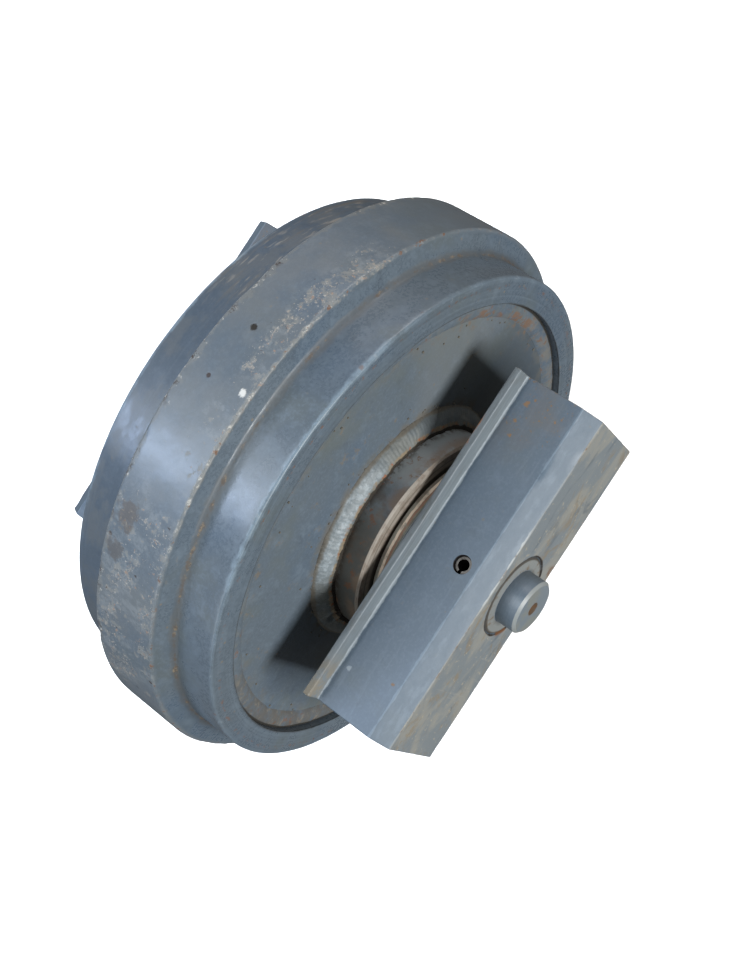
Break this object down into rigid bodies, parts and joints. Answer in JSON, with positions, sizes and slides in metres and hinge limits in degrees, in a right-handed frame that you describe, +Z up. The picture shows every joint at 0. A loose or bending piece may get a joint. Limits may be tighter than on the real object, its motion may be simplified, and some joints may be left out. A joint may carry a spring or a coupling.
{
  "type": "track roller",
  "caption": "Hollow flanged track wheel turning on a fixed axle between two chamfered slide blocks with guide lips.",
  "frame": {"origin": "centre of the wheel, on the axle line, halfway between the blocks", "axes": "+Y along the axle towards the left block, +Z up, square to the wide slide faces, +X along the blocks, the way the track frame runs"},
  "size_m": [0.4139, 0.3412, 0.414],
  "materials": {
    "wheel_paint": "blue-grey satin paint, scratched, with rust at the edges",
    "block_paint": "blue-grey satin paint with dust and rust spots",
    "weld_bead": "light grey painted weld bead",
    "axle_steel": "painted over turned steel",
    "pin_steel": "dark spring steel",
    "bushing_bronze": "turned bronze",
    "seal_iron": "lapped seal face",
    "seal_rubber": "matt black rubber"
  },
  "bodies": {
    "axle_and_blocks": {"axle": "axle_steel", "oil_plug": "pin_steel", "guide_block_left": "block_paint", "fixed_seal_ring_left": "seal_iron", "fixed_toric_ring_left": "seal_rubber", "lock_pin_left": "pin_steel", "axle_o_ring_left": "seal_rubber", "guide_block_right": "block_paint", "fixed_seal_ring_right": "seal_iron", "fixed_toric_ring_right": "seal_rubber", "lock_pin_right": "pin_steel", "axle_o_ring_right": "seal_rubber"},
    "wheel": {"rim": "wheel_paint", "hub": "wheel_paint", "web_plate_left": "wheel_paint", "hub_weld_left": "weld_bead", "rim_weld_left": "weld_bead", "bushing_left": "bushing_bronze", "rotating_seal_ring_left": "seal_iron", "rotating_toric_ring_left": "seal_rubber", "web_plate_right": "wheel_paint", "hub_weld_right": "weld_bead", "rim_weld_right": "weld_bead", "bushing_right": "bushing_bronze", "rotating_seal_ring_right": "seal_iron", "rotating_toric_ring_right": "seal_rubber"}
  },
  "joints": [
    {"name": "wheel_spin", "type": "hinge", "parent": "axle_and_blocks", "child": "wheel", "pos_m": [0, 0, 0], "axis": [0, 1, 0], "continuous": true}
  ]
}
